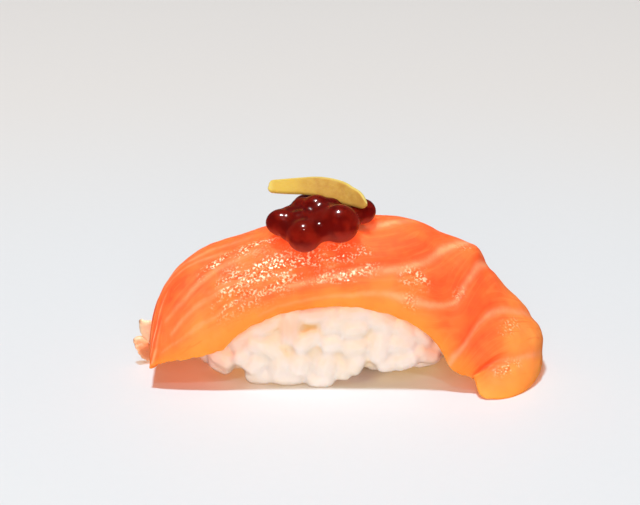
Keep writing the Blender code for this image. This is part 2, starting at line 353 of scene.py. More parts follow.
fish = {
    "crownMiddle": 1.8,
    "crownHeight": 28.7,
    "tipReach": 35.9,
    "tipLevel": 3.6,
    "endReach": 35.6,
    "tipFullness": 2.46,
    "endFullness": 2.08,
    "crownSide": (-3.6, 0.0, 1.4),
    # place along the slice, half length, height
    "crownWaves": (
        (0.345, 0.08, -1.15), (0.59, 0.05, 0.6), (0.655, 0.02, -0.2),
        (0.712, 0.024, 0.9), (0.812, 0.062, -1.6), (0.935, 0.045, 0.6),
    ),
    # place along the slice, then x, y, z of the long edges
    "frontEdge": (
        (0, -34.2, -10.6, 3.8), (0.08, -31, -11.8, 5.2), (0.17, -26.2, -12.5, 6.2),
        (0.26, -20.7, -12.9, 7.9), (0.31, -17.3, -12.9, 11), (0.4, -9.2, -13, 14.9), (0.5, 1, -13, 16.1),
        (0.6, 11.5, -13, 13.6), (0.68, 17.6, -13.2, 8.9), (0.75, 20.2, -13.5, 4.3), (0.81, 22, -13.8, 3.6),
        (0.89, 23.9, -14, 3.2), (0.95, 24.9, -16.2, 1.2), (1, 28.4, -17.9, 0),
    ),
    "backEdge": (
        (0, -33.9, 5.2, 3.5), (0.05, -32.7, 6.2, 4.7), (0.11, -30.4, 8, 6.6), (0.22, -23, 11.2, 11),
        (0.35, -11.6, 13, 15.6), (0.5, 2.6, 13.4, 17.3), (0.65, 16.4, 13.6, 12.4), (0.8, 23.6, 14.2, 5.6),
        (1, 30.2, 15.8, 0),
    ),
    "colours": {
        # edge: a painted glow colour for the thin rim of the slice
        "red": (0.95, 0.100, 0.027), "yellow": (0.96, 0.285, 0.062), "edge": (0.96, 0.28, 0.040),
        "paleFibre": (0.96, 0.25, 0.075), "darkFibre": (0.90, 0.055, 0.015), "fat": (0.96, 0.39, 0.185),
        # painted shade colours for the creases and the hollows; red for the flesh stained round the eggs,
        # with painted shade
        "creaseShade": (0.80, 0.055, 0.018), "roeStainAndShade": (0.60, 0.065, 0.024), "hollowShade": (0.62, 0.060, 0.015),
        # bead: the colour of the painted highlight dots
        "bead": (0.98, 0.66, 0.40),
        # tint of the light that comes through: left end, middle, right end
        "passed": ((0.72, 0.33, 0.04), (0.64, 0.50, 0.30), (0.71, 0.43, 0.26)),
    },
    "finish": {
        "Roughness": 0.42, "Specular IOR Level": 0.01, "Coat Roughness": 0.06, "Subsurface Weight": 0.6,
        "Subsurface Radius": (1.0, 0.28, 0.10), "Subsurface Scale": 0.0034,
    },
    "grain": (1.6, 0.05, 0.34, 0.22),
    "edgeTurn": math.radians(80),
    "thickness": ((0.0, 2.2), (0.15, 3.4), (0.4, 4.5), (0.7, 4.6), (0.9, 4.0), (1.0, 3.4)),
    "sideRounding": 9,
    "endRounding": 40,
    "endCornerCut": 0.028,
    "tipCornerCut": 0.012,
    "edgeWaver": 0.22,
    "arc": 108,
    "cells": (344, 124),
    "flakeSwell": 0.22,
    "flakeRound": 1.6,
    "grooveWidth": 1.7,
    "seamHeight": 0.14,
    "fatSpread": 0.55,
    "creaseSpread": 0.6,
    "ripple": 0.10,
    "edgeTaper": 0.7,
    "roeStainAndShadeReach": 1.8,
    # colour of the flesh from 0, red, to 1, yellow: place along, place across, reach in mm, value
    "plainTone": 0.18,
    "plainShare": 0.12,
    "tones": (
        (0.2, 0.92, 6, 1), (0.36, 0.62, 6, 0.25), (0.3, 0.97, 5, 0.9), (0.17, 0.45, 6, 0),
        (0.3, 0.3, 7, 0.25), (0.36, -0.05, 9, 0.2), (0.46, 0.05, 8, 0.2), (0.42, 0.88, 4, 0.3),
        (0.49, 0.76, 3, 0), (0.5, 0.97, 4, 1), (0.6, 0.96, 5, 1), (0.6, 0.8, 4, 0.6), (0.57, 0.35, 7, 0),
        (0.66, 0.55, 6, 0), (0.72, 0.68, 6, 0.1), (0.78, 0.35, 5, 0.05), (0.54, 0.18, 5, 0.35),
        (0.6, 0, 6, 0.2), (0.72, 0, 7, 0.2), (0.745, 0.97, 3, 0.7), (0.67, 0.92, 4, 0.5),
        (0.77, 0.8, 5, 0.2), (0.85, 0.9, 6, 0), (0.91, 0.97, 4, 0.1), (0.86, 0.2, 6, 0.75),
        (0.91, 0.35, 6, 1), (0.95, 0.55, 6, 1), (0.965, 0.85, 5, 0.8), (0.85, -0.4, 8, 0.5),
        (0.5, -0.5, 12, 0.1), (0.2, -0.5, 8, 0.3),
    ),
}

# Seams of fat: place along, place across, width, strength, depth of the groove they lie in
marbling = {
    "shoulder": (
        (0.722, -0.8, 0.8, 0.4, 0.1), (0.716, -0.4, 1.3, 0.6, 0.15), (0.704, -0.12, 1.8, 0.9, 0.2),
        (0.681, 0.08, 1.7, 1, 0.2), (0.658, 0.23, 1.5, 1, 0.2), (0.641, 0.39, 1.1, 0.9, 0.25),
        (0.62, 0.5, 1, 0.9, 0.3), (0.583, 0.62, 1.1, 0.9, 0.3), (0.521, 0.69, 1.3, 0.9, 0.25),
        (0.46, 0.76, 1.1, 0.8, 0.2), (0.4, 0.78, 0.8, 0.55, 0.15), (0.3, 0.75, 0.6, 0.45, 0.1),
        (0.216, 0.78, 0.5, 0.4, 0.05), (0.154, 0.81, 0.5, 0.3, 0), (0.068, 0.85, 0.5, 0.2, 0),
    ),
    "haunch": (
        (0.8, -0.8, 0.8, 0.4, 0.2), (0.775, -0.35, 1, 0.6, 0.25), (0.752, 0.01, 1.1, 0.9, 0.35),
        (0.732, 0.19, 1.3, 1, 0.5), (0.716, 0.39, 1.2, 1, 0.5), (0.706, 0.52, 1.2, 1, 0.5),
        (0.7, 0.63, 0.9, 1, 0.5), (0.669, 0.74, 0.8, 0.8, 0.4), (0.639, 0.8, 1, 0.9, 0.3),
        (0.599, 0.84, 1.3, 1, 0.2), (0.556, 0.85, 0.9, 0.5, 0.1), (0.509, 0.9, 0.8, 0.4, 0),
        (0.435, 0.92, 0.6, 0.3, 0), (0.334, 0.94, 0.5, 0.2, 0),
    ),
    "flank": (
        (0.935, -0.6, 1, 0.4, 0.3), (0.905, -0.15, 1.1, 0.5, 0.4), (0.88, 0.04, 1.3, 0.7, 0.45),
        (0.85, 0.21, 1.4, 0.8, 0.4), (0.82, 0.34, 1.3, 0.85, 0.35), (0.787, 0.52, 1.2, 0.85, 0.4),
        (0.769, 0.67, 1.1, 0.8, 0.4), (0.76, 0.78, 1.1, 0.75, 0.4), (0.75, 0.87, 1.2, 0.75, 0.4),
        (0.734, 0.96, 1.6, 0.9, 0.2), (0.724, 1.12, 2, 0.9, 0.1),
    ),
    "tail": (
        (0.972, -0.6, 1, 0.3, 0.2), (0.966, 0, 1.3, 0.4, 0.3), (0.95, 0.25, 1.3, 0.5, 0.3),
        (0.936, 0.4, 1.2, 0.6, 0.3), (0.914, 0.63, 1, 0.6, 0.4), (0.889, 0.8, 0.8, 0.5, 0.7),
        (0.88, 0.91, 0.8, 0.4, 0.9), (0.896, 0.99, 0.8, 0.3, 1),
    ),
    "ribHigh": (
        (0.11, 0.55, 0.7, 0.3, 0), (0.19, 0.505, 0.9, 0.5, 0.1), (0.24, 0.44, 0.9, 0.5, 0.1),
        (0.3, 0.385, 0.9, 0.4, 0.1), (0.388, 0.34, 0.7, 0.3, 0),
    ),
    "ribMiddle": ((0.24, 0.55, 0.4, 0.3, 0), (0.332, 0.567, 0.5, 0.4, 0.1), (0.42, 0.487, 0.5, 0.3, 0)),
    "ribLow": (
        (0.12, 0.73, 0.6, 0.4, 0), (0.171, 0.667, 0.8, 0.45, 0.1), (0.239, 0.611, 0.8, 0.45, 0.1),
        (0.293, 0.6, 0.7, 0.4, 0.1), (0.357, 0.635, 0.6, 0.4, 0.1), (0.43, 0.69, 0.6, 0.3, 0),
    ),
    "ribLowest": ((0.15, 0.84, 0.5, 0.2, 0), (0.22, 0.76, 0.5, 0.35, 0.05), (0.28, 0.755, 0.5, 0.3, 0)),
    "crest": (
        (0.12, -0.1, 1, 0.3, 0), (0.2, 0, 1.3, 0.45, 0.1), (0.246, 0.09, 1.4, 0.5, 0.1),
        (0.31, 0.1, 1.3, 0.4, 0.1), (0.38, 0.1, 1, 0.2, 0),
    ),
    "crestLow": (
        (0.13, 0.1, 0.8, 0.3, 0), (0.2, 0.14, 0.9, 0.4, 0.1), (0.26, 0.2, 0.9, 0.4, 0.1),
        (0.32, 0.24, 0.8, 0.25, 0),
    ),
    "tipSeam": (
        (0.011, 0.72, 0.6, 0.8, 0), (0.032, 0.591, 0.6, 1, 0), (0.053, 0.519, 0.6, 1, 0),
        (0.078, 0.451, 0.6, 1, 0), (0.097, 0.383, 0.6, 0.9, 0), (0.115, 0.315, 0.6, 0.8, 0),
        (0.136, 0.263, 0.5, 0.6, 0), (0.165, 0.2, 0.5, 0.3, 0),
    ),
    "tipEdge": (
        (0.006, 0.6, 0.5, 0.6, 0), (0.021, 0.455, 0.5, 0.7, 0), (0.043, 0.4, 0.5, 0.6, 0),
        (0.068, 0.3, 0.5, 0.5, 0), (0.1, 0.15, 0.5, 0.4, 0), (0.13, 0, 0.5, 0.3, 0),
    ),
    "tipBand": (
        (0.01, 0.96, 0.8, 0.6, 0), (0.043, 0.812, 0.9, 0.7, 0), (0.068, 0.703, 0.9, 0.6, 0),
        (0.092, 0.571, 0.8, 0.45, 0), (0.125, 0.45, 0.6, 0.25, 0),
    ),
    "backHigh": (
        (0.1, -0.3, 0.7, 0.4, 0), (0.22, -0.34, 1, 0.5, 0.1), (0.36, -0.3, 1.1, 0.5, 0.1),
        (0.5, -0.36, 1.1, 0.5, 0.1), (0.6, -0.55, 1, 0.5, 0.1), (0.66, -0.85, 0.8, 0.4, 0),
    ),
    "backLow": (
        (0.08, -0.55, 0.6, 0.4, 0), (0.2, -0.62, 0.9, 0.5, 0.1), (0.34, -0.6, 1, 0.5, 0.1),
        (0.46, -0.66, 1, 0.5, 0.1), (0.54, -0.88, 0.8, 0.4, 0),
    ),
    "crownPatch": (
        (0.5, 0.24, 1.6, 0.5, 0), (0.525, 0.2, 1.9, 0.8, 0), (0.555, 0.15, 2, 0.85, 0),
        (0.58, 0.06, 1.8, 0.6, 0), (0.61, -0.1, 1.5, 0.4, 0),
    ),
}

# Creases pressed in beside the seams: place along, place across, width, depth
creases = {
    "tipGroove": (
        (0.028, 0.547, 0.5, 0.2), (0.051, 0.455, 0.6, 0.4), (0.073, 0.38, 0.6, 0.45),
        (0.09, 0.31, 0.6, 0.45), (0.111, 0.235, 0.6, 0.35), (0.14, 0.15, 0.5, 0.15),
    ),
    "shoulderTop": (
        (0.655, 0.1, 1, 0.1), (0.632, 0.24, 0.9, 0.2), (0.616, 0.4, 0.8, 0.25), (0.585, 0.53, 0.8, 0.3),
        (0.53, 0.62, 0.8, 0.25), (0.47, 0.7, 0.8, 0.2), (0.4, 0.73, 0.8, 0.1),
    ),
}

# Bands where the surface is rough and wet and glitters, in its coat and in painted highlight dots: place
# along, place across, width, strength
wetBands = {
    "high": (
        (0.235, 0.42, 0.8, 0.4), (0.272, 0.335, 1, 1), (0.333, 0.283, 1.1, 1), (0.389, 0.271, 0.9, 0.8),
        (0.42, 0.27, 0.7, 0.3),
    ),
    "middle": (
        (0.27, 0.6, 1.6, 0.6), (0.322, 0.571, 2.1, 1), (0.394, 0.579, 2.4, 1), (0.452, 0.559, 1.8, 1),
        (0.505, 0.551, 1.2, 0.8), (0.545, 0.495, 0.9, 0.4),
    ),
    "low": (
        (0.25, 0.7, 1.2, 0.3), (0.3, 0.73, 1.7, 0.8), (0.351, 0.752, 1.7, 0.8), (0.42, 0.719, 1.4, 0.8),
        (0.455, 0.7, 1.2, 0.4),
    ),
    "seam": ((0.44, 0.764, 0.8, 0.6), (0.49, 0.739, 1, 1), (0.536, 0.659, 1, 0.8), (0.56, 0.6, 1, 0.4)),
    "haunch": ((0.575, 0.7, 1.2, 0.4), (0.605, 0.665, 1.6, 0.9), (0.643, 0.587, 1.4, 0.8)),
    "underHaunch": ((0.587, 0.844, 1, 0.7), (0.605, 0.84, 1.2, 0.8), (0.629, 0.812, 1, 0.6)),
    "fold": ((0.68, 0.69, 0.8, 0.6), (0.701, 0.579, 0.8, 0.8), (0.711, 0.475, 0.8, 0.5)),
    "flank": ((0.835, 0.6, 1, 0.6), (0.85, 0.443, 1.4, 0.8), (0.865, 0.291, 1.1, 0.5)),
    "end": ((0.91, 0.86, 0.9, 0.7), (0.925, 0.7, 1.4, 0.9), (0.93, 0.527, 1, 0.6)),
    "belowRoe": (
        (0.465, 0.47, 0.7, 0.5), (0.488, 0.49, 1.1, 1), (0.515, 0.49, 1, 0.85), (0.538, 0.52, 0.8, 0.4),
    ),
    "shoulder": ((0.672, 0.24, 0.9, 0.3), (0.692, 0.12, 1.2, 0.45), (0.712, 0, 1, 0.3)),
}


def crownTrack(at):
    turn = math.pi * (1 - at)
    left = at < 0.5
    reach = np.where(left, fish["tipReach"], fish["endReach"])
    floor = np.where(left, fish["tipLevel"], 0.0)
    power = 2 / np.where(left, fish["tipFullness"], fish["endFullness"])
    x = fish["crownMiddle"] + reach * np.sign(np.cos(turn)) * np.abs(np.cos(turn)) ** power
    z = floor + (fish["crownHeight"] - floor) * np.abs(np.sin(turn)) ** power
    push = sum(high * bell((at - place) / half) for place, half, high in fish["crownWaves"])
    y = smoothTrack((0, 0.5, 1), fish["crownSide"], at) * abs(2 * at - 1) ** 2
    return np.stack([x + push * np.cos(turn), y, np.maximum(z + push * np.sin(turn), 0)], axis=-1)


def outerSkin(along, across):
    along = along - fish["endCornerCut"] * along ** 12 * np.abs(across) ** 5
    along = along + fish["tipCornerCut"] * (1 - along) ** 40 * np.maximum(across, 0) ** 8
    crown = crownTrack(along)
    front = stationTrack(fish["frontEdge"], along)
    back = stationTrack(fish["backEdge"], along)
    spots = np.stack([along * fish["arc"], 0 * along, 0 * along], axis=-1)
    waver = fieldNoise(spots, 2.2, 8) + 0.5 * fieldNoise(spots, 0.9, 9)
    front = front + fish["edgeWaver"] * waver[..., None] * np.array([0, 0, 1.0]) * (along < 0.9)[..., None]
    edge = np.where((across > 0)[..., None], front, back)
    turn = np.abs(across) * fish["edgeTurn"]
    sideways = (np.sin(turn) / math.sin(fish["edgeTurn"]))[..., None]
    downward = ((1 - np.cos(turn)) / (1 - math.cos(fish["edgeTurn"])))[..., None]
    reach = edge - crown
    return crown + reach * np.array([0, 1, 0]) * sideways + reach * np.array([1, 0, 1]) * downward


def halfSpan(along):
    # length of the skin from the crown to a long edge
    reach = stationTrack(fish["frontEdge"], along) - crownTrack(along)
    return np.maximum(1.1 * np.linalg.norm(reach, axis=-1), 4)


def seamField(along, across, stations):
    # distance in millimetres to a seam, then its width and other numbers there
    table = np.array(stations, float)
    span = halfSpan(table[:, 0])
    flat = np.stack([table[:, 0] * fish["arc"], table[:, 1] * span], axis=-1)
    travelled = np.concatenate([[0], np.cumsum(np.linalg.norm(np.diff(flat, axis=0), axis=-1))])
    at = np.linspace(0, travelled[-1], 1 + int(travelled[-1] / 0.4))
    path = np.stack([smoothTrack(travelled, column, at) for column in table.T], axis=-1)
    away = np.full(len(along), 99.0)
    nearest = np.zeros(len(along), int)
    span = halfSpan(along)
    for k, (u, w) in enumerate(path[:, :2]):
        reach = np.hypot((along - u) * fish["arc"], (across - w) * span)
        closer = reach < away
        away[closer] = reach[closer]
        nearest[closer] = k
    fade = smoothStep(at, 0, 2.5) * smoothStep(travelled[-1] - at, 0, 2.5)
    return [away, path[nearest, 2], *(path[nearest, 3:] * fade[nearest, None]).T]


def fishSkin(mesh, gridAlong, gridAcross, upper):
    along = (crowded(gridAlong) + 1) / 2
    across = crowded(gridAcross)
    skin = outerSkin(along, across)
    out = facingOf(outerSkin, along, across, 0.02, -1)
    half = stationTrack(fish["thickness"], along)[..., 0] / 2
    rim = np.sqrt(np.clip(1 - np.abs(across) ** fish["sideRounding"], 0, 1))
    rim = rim * np.sqrt(np.clip(1 - np.abs(2 * along - 1) ** fish["endRounding"], 0, 1))
    fat = np.zeros(len(along))
    nearestSeam = np.full(len(along), 99.0)
    pressed = np.zeros(len(along))
    seamRise = np.zeros(len(along))
    for stations in marbling.values():
        away, width, strength, groove = seamField(along, across, stations)
        glow = strength * bell(away / (fish["fatSpread"] * width))
        fat = np.maximum(fat, glow)
        nearestSeam = np.minimum(nearestSeam, away + 3 * (1 - strength))
        seamRise = np.maximum(seamRise, fish["seamHeight"] * glow)
        pressed = np.maximum(pressed, groove * bell(away / fish["grooveWidth"]))
    for stations in creases.values():
        away, width, depth = seamField(along, across, stations)
        pressed = np.maximum(pressed, depth * bell(away / (fish["creaseSpread"] * width)))
    swell = fish["flakeSwell"] * (1 - bell(nearestSeam / fish["flakeRound"]))
    rippled = fish["ripple"] * (fieldNoise(skin, 2.6) + 0.5 * fieldNoise(skin, 1.1, 5))
    relief = (seamRise + swell - fish["flakeSwell"] - pressed + rippled) * rim
    taper = 1 - fish["edgeTaper"] * smoothStep(np.abs(across), 0.62, 1.0)
    top = skin - out * (half * taper * (1 - rim))[..., None] + out * relief[..., None]
    bottom = top - out * (2 * half * taper * rim)[..., None]
    placed = np.where(upper[..., None], top, bottom)
    placed[..., 2] = np.maximum(placed[..., 2], 0)
    # red staining round the eggs, together with painted shade and a painted red glow where they sit on the
    # flesh
    roeStainAndShade = np.full(len(along), 99.0)
    for centre, size in roeLook["eggs"].values():
        apart = np.linalg.norm((skin - np.array(centre)) / np.array(size), axis=-1) - 1
        roeStainAndShade = np.minimum(roeStainAndShade, apart * np.mean(size))
    setValue(mesh, "roeStainAndShade", bell(np.maximum(roeStainAndShade, 0) / fish["roeStainAndShadeReach"]))
    setValue(mesh, "flakeDistance", nearestSeam)
    wet = np.zeros(len(along))
    for stations in wetBands.values():
        away, width, strength = seamField(along, across, stations)
        wet = np.maximum(wet, strength * bell(away / width))
    setValue(mesh, "wet", np.where(upper, wet, 0))
    shares = np.full(len(along), fish["plainShare"])
    tone = shares * fish["plainTone"]
    span = halfSpan(along)
    for u, w, reach, value in fish["tones"]:
        away = np.hypot((along - u) * fish["arc"], (across - w) * span)
        share = bell(away / reach)
        shares += share
        tone += share * value
    setValue(mesh, "tone", tone / shares)
    setValue(mesh, "fat", np.where(upper, fat, 0.6 * fat))
    setValue(mesh, "alongSlice", along)
    setValue(mesh, "acrossSlice", across)
    # mask for the painted shade in the creases: how deep they are pressed
    setValue(mesh, "creaseShade", pressed)
    # mask for a painted glow where the slice thins at its rims and ends
    edgeThin = smoothStep(np.abs(across), 0.80, 1.0)
    endThin = smoothStep(along, 0.93, 1.0) + smoothStep(1 - along, 0.97, 1.0)
    setValue(mesh, "thin", np.clip(np.maximum(edgeThin, endThin), 0, 1))
    return placed


def fleshMaterial():
    material, tree, surface = newMaterial("salmonFlesh", fish["finish"])
    colours = fish["colours"]
    place = placeOf(tree)
    along = valueOf(tree, "alongSlice")
    across = valueOf(tree, "acrossSlice")
    patchy = remap(tree, speckle(tree, place, 0.004, 2), 0.3, 0.7, -0.12, 0.12)
    tone = calculate(tree, "ADD", valueOf(tree, "tone"), patchy, True)
    flesh = mixColour(tree, tone, colours["red"], colours["yellow"])
    # long faint fibres that run beside the seams
    run = combined(tree, times(tree, valueOf(tree, "flakeDistance"), 1.1), times(tree, along, 10.0),
                   times(tree, across, 2.0))
    fibres = speckle(tree, run, 1.0, 3, 0.6)
    flesh = mixColour(tree, remap(tree, fibres, 0.47, 0.72, 0.0, 0.32), flesh, colours["paleFibre"])
    flesh = mixColour(tree, remap(tree, fibres, 0.46, 0.28, 0.0, 0.30), flesh, colours["darkFibre"])
    # painted glow of light through the flesh: yellower where the slice thins toward its edges
    flesh = tinted(tree, flesh, "thin", 0.6, colours["edge"])
    ragged = remap(tree, speckle(tree, place, 0.0022, 2), 0.30, 0.62, 0.55, 1.0)
    flesh = tinted(tree, flesh, "fat", times(tree, ragged, 0.95), colours["fat"])
    # darkened by painted shade in the creases; stained red round the eggs, with painted shade and a painted
    # red glow there as well
    flesh = tinted(tree, flesh, "creaseShade", 0.6, colours["creaseShade"])
    flesh = tinted(tree, flesh, "roeStainAndShade", 0.55, colours["roeStainAndShade"])
    # painted highlight: pale glint dots painted into the colour where the wet coat beads up in broken
    # patches along the bands, with painted shade in the dark hollows between them
    patches = combined(tree, times(tree, along, 24.0), times(tree, across, 15.0))
    broken = remap(tree, speckle(tree, patches, 1.0, 2), 0.38, 0.56)
    wet = times(tree, valueOf(tree, "wet"), broken)
    beads = speckle(tree, place, 0.00042, 1)
    coatAndPaintedGlint = times(tree, wet, remap(tree, beads, 0.52, 0.61))
    # painted shade in the hollows between the painted highlight dots
    pitShade = times(tree, wet, remap(tree, beads, 0.46, 0.36, 0.0, 0.75))
    flesh = mixColour(tree, pitShade, flesh, colours["hollowShade"])
    flesh = mixColour(tree, times(tree, coatAndPaintedGlint, 0.8), flesh, colours["bead"])
    feed(tree, surface.inputs["Base Color"], flesh)
    feed(tree, surface.inputs["Coat Weight"], calculate(tree, "ADD", coatAndPaintedGlint, 0.004, True))
    mask = calculate(tree, "ADD", wet, 0.05)
    moistRelief(tree, surface, fish["grain"], mask)
    # the wet coat lies over the same lumps and beads
    lump, lumpDepth, bead, beadDepth = fish["grain"]
    low = times(tree, speckle(tree, place, lump * mm, 1), lumpDepth * mm)
    high = times(tree, times(tree, speckle(tree, place, bead * mm, 1), beadDepth * mm), mask)
    reliefOn(tree, surface, calculate(tree, "ADD", low, high), "Coat Normal")
    # the thin left end lets more orange light through than the middle
    passed = mixColour(tree, remap(tree, along, 0.20, 0.40), *colours["passed"][:2])
    passed = mixColour(tree, remap(tree, along, 0.60, 0.78), passed, colours["passed"][2])
    letLampsThrough(tree, surface, passed)
    return material


def addFish():
    mesh = closedSheet(fish["cells"], fishSkin)
    mesh.name = "salmonSlice"
    laid = addPiece("salmon_slice", mesh, fleshMaterial(), ("salmon",))
    wetPieces.objects.link(laid)
    return laid


riceLook = {
    "colours": {
        # after the grain colours come painted shade colours: between the grains, then in the open gaps
        "grain": ((0.77, 0.675, 0.605), (0.76, 0.65, 0.55)), "creviceShade": (0.80, 0.63, 0.45),
        # the first colour here is painted shade with orange bounce light from the salmon above
        "gapShade": (0.70, 0.39, 0.13), "salmonShadeAndGlow": (0.80, 0.50, 0.34), "passed": (0.97, 0.93, 0.87),
    },
    "finish": {
        "Roughness": 0.36, "Specular IOR Level": 0.3, "Coat Weight": 0.15, "Coat Roughness": 0.2,
        "Subsurface Weight": 0.8, "Subsurface Radius": (1.0, 0.8, 0.62), "Subsurface Scale": 0.0012,
    },
    "grain": (1.3, 0.05, 0.45, 0.03),
    "middle": (-2.3, 0.0, 7.5),
    "length": 6.0,
    "width": 3.3,
    "lengthRange": (0.82, 1.12),
    "widthRange": (0.9, 1.12),
    "mostTilt": 0.25,
    "mostBend": 0.5,
    "mostDepth": 0.6,
    "sunk": 0.4,
    "spread": (20, 3, 4),
    "voxel": 0.26,
    "closing": 0.34,
    "spacing": 2.35,
    "tries": 9000,
    "coreDepth": 1.7,
    "seed": 11,
    "viewSlope": 17,
    # grains that show at the front: across, height as seen, turn in degrees, length, width, depth in
    "front": (
        (-8.7, 7.1, 88, 7.6, 4, 0.7), (-3.8, 9.6, 8, 7.6, 3.2, 0.2), (-0.5, 8.4, 12, 6.4, 3.6, 0.1),
        (2.6, 7.6, 8, 5.6, 3.6, 0.1), (-5.3, 5.1, 25, 5.8, 3.3, 0), (-1.2, 4.5, 5, 4.4, 3.2, 0.3),
        (2.9, 3.9, 5, 5.2, 3.4, 0.2), (7.9, 8.7, -35, 6.4, 4, 0.1), (7.4, 3.9, 80, 6.6, 4.1, 0),
        (11.6, 4.2, -20, 5.6, 4, 0.1), (12.4, 1.2, 15, 5.6, 4, 0), (9.4, 0.6, 0, 5.2, 3.4, 0.1),
        (16.4, 2.4, -25, 6.4, 3.6, 0.1), (12.4, 6.9, -38, 6.2, 3.7, 0.1), (-17.3, 5.6, 32, 7.4, 3.4, 0.3),
        (-13.1, 7.8, 28, 7.2, 3.2, 0.5), (-14.6, 4.2, -20, 4.8, 3.5, 0), (-11.7, 3.1, -35, 5.2, 3.2, 0.2),
        (-17.6, 2.4, 70, 4.4, 3.4, 0), (-21.8, 1.5, -18, 5.6, 4, 0), (-24.6, 1.8, 60, 3.6, 3, 0.3),
        (-14.9, 0.6, 60, 4.6, 3.9, 0), (-10.8, 0.7, 80, 5, 4.4, 0), (-6.7, 0.5, 70, 4.9, 4.6, 0),
        (-2.3, 0.6, 75, 4.9, 4.6, 0), (1, -0.3, 80, 4.2, 3.2, 0.2), (3.1, 0.6, 62, 4.8, 3.8, 0),
        (-8.9, -2.2, -5, 7.2, 3.4, -0.3), (-3.2, -2.3, 5, 5.2, 3.4, -0.3),
        (-14.4, -1.9, 10, 5.6, 3.4, -0.3), (-21.9, 0.2, -15, 5, 3.6, 0), (2.8, 10.5, 5, 6.6, 3.4, 0),
        (15.4, 6, -48, 5.6, 3.4, 0.2),
    ),
    # places left open between the grains: across, height as seen, radius
    "open": (
        (-5, 7.3, 1.8), (-11.3, 7.8, 1.2), (-9.4, 3.5, 0.8), (-3.6, 3.9, 0.7), (5.9, 0.9, 0.8),
        (10, 5.4, 0.5),
    ),
    # places painted with shade and orange bounce light from the salmon above: across, height as seen,
    # radius, strength
    "shadedSpots": (
        (-8.7, 7.4, 2.4, 0.9), (-3.6, 9.9, 2.4, 0.45), (-13, 8.4, 2.6, 0.55), (-17.5, 6, 2.8, 0.5),
        (-22, 1.6, 3, 0.6), (17, 3.2, 2.6, 0.6), (2, 11, 2, 0.35), (-25, 1.6, 2, 0.7),
        (13, 7.6, 2, 0.25),
    ),
}


def searchTree(mesh):
    points = [Vector(p) for p in shapePoints(mesh)]
    return BVHTree.FromPolygons(points, [list(p.vertices) for p in mesh.polygons])


def bedSpot(bed, across, height):
    # the point of the rice that shows at this place from the front
    slope = math.radians(riceLook["viewSlope"])
    forward = Vector((0, math.cos(slope), -math.sin(slope)))
    upward = Vector((0, math.sin(slope), math.cos(slope)))
    hit, normal, _, _ = bed.ray_cast(Vector((across, 0, 0)) + upward * height - forward * 60, forward)
    return hit, normal


def turnedAxis(normal, degrees):
    # a direction in the surface: level at 0 degrees, up the surface at 90
    level = (Vector((1, 0, 0)) - normal * normal.x).normalized()
    upward = normal.cross(level)
    if upward.z < 0:
        upward = -upward
    angle = math.radians(degrees)
    return level * math.cos(angle) + upward * math.sin(angle)


def grainShape(shape, middle, axis, out, length, width, bend):
    # a plump grain: a ball drawn out to blunt ends, one end finer, bent a little across its length
    made = bmesh.ops.create_uvsphere(shape, u_segments=10, v_segments=9, radius=1)["verts"]
    side = axis.cross(out).normalized()
    up = side.cross(axis).normalized()
    for vert in made:
        t = vert.co.z
        blunt = 1.0 if abs(t) > 0.999 else math.sqrt((1 - abs(t) ** 4) / (1 - t * t))
        girth = blunt * (1 - 0.08 * t)
        vert.co = (
            middle
            + axis * (t * length / 2)
            + side * (vert.co.x * girth * width / 2)
            + up * (vert.co.y * girth * width * 0.44 - bend * t * t)
        )


def axisSpots(middle, axis, length):
    return [middle + axis * (length * share) for share in (-0.3, 0, 0.3)]


def scatterGrains(bed, randomness):
    placed = []
    spots = []
    for across, height, turn, length, width, depth in riceLook["front"]:
        hit, normal = bedSpot(bed, across, height)
        if hit is None:
            continue
        axis = turnedAxis(normal, turn)
        middle = hit - normal * (riceLook["sunk"] * width + depth)
        placed.append((middle, axis, normal, length, width))
        spots.extend(axisSpots(middle, axis, length))
    openings = []
    for across, height, radius in riceLook["open"]:
        hit, normal = bedSpot(bed, across, height)
        if hit is not None:
            openings.append((hit, radius + 0.5 * riceLook["width"] + 0.3))
    shadedSpots = [
        (bedSpot(bed, across, height)[0], radius, strength)
        for across, height, radius, strength in riceLook["shadedSpots"]
    ]
    centre = np.array(riceLook["middle"])
    for _ in range(riceLook["tries"]):
        direction = randomness.normal(size=3)
        start = centre + 60 * direction / np.linalg.norm(direction)
        goal = centre + np.array(riceLook["spread"]) * randomness.uniform(-1, 1, 3)
        hit, normal, _, _ = bed.ray_cast(Vector(start), Vector(goal - start).normalized())
        length = riceLook["length"] * randomness.uniform(*riceLook["lengthRange"])
        width = riceLook["width"] * randomness.uniform(*riceLook["widthRange"])
        tilt = randomness.uniform(-riceLook["mostTilt"], riceLook["mostTilt"])
        turn = randomness.uniform(0, 180)
        depth = riceLook["sunk"] * width + randomness.uniform(0.0, riceLook["mostDepth"])
        if hit is None or hit.z < 0.4:
            continue
        axis = (turnedAxis(normal, turn) + normal * tilt).normalized()
        middle = hit - normal * depth
        mine = axisSpots(middle, axis, length)
        if any((place - spot).length < radius for place, radius in openings for spot in mine):
            continue
        apart = np.linalg.norm(np.array(spots)[:, None] - np.array(mine)[None], axis=-1)
        if apart.min() < riceLook["spacing"]:
            continue
        placed.append((middle, axis, normal, length, width))
        spots.extend(mine)
    return placed, openings, [spot for spot in shadedSpots if spot[0] is not None]


def looseObject(name, shape):
    # a working object for a bmesh in shape millimetres
    mesh = meshFrom(shape, name)
    placeVertices(mesh, coordinatesOf(mesh))
    return newObject(name, mesh)


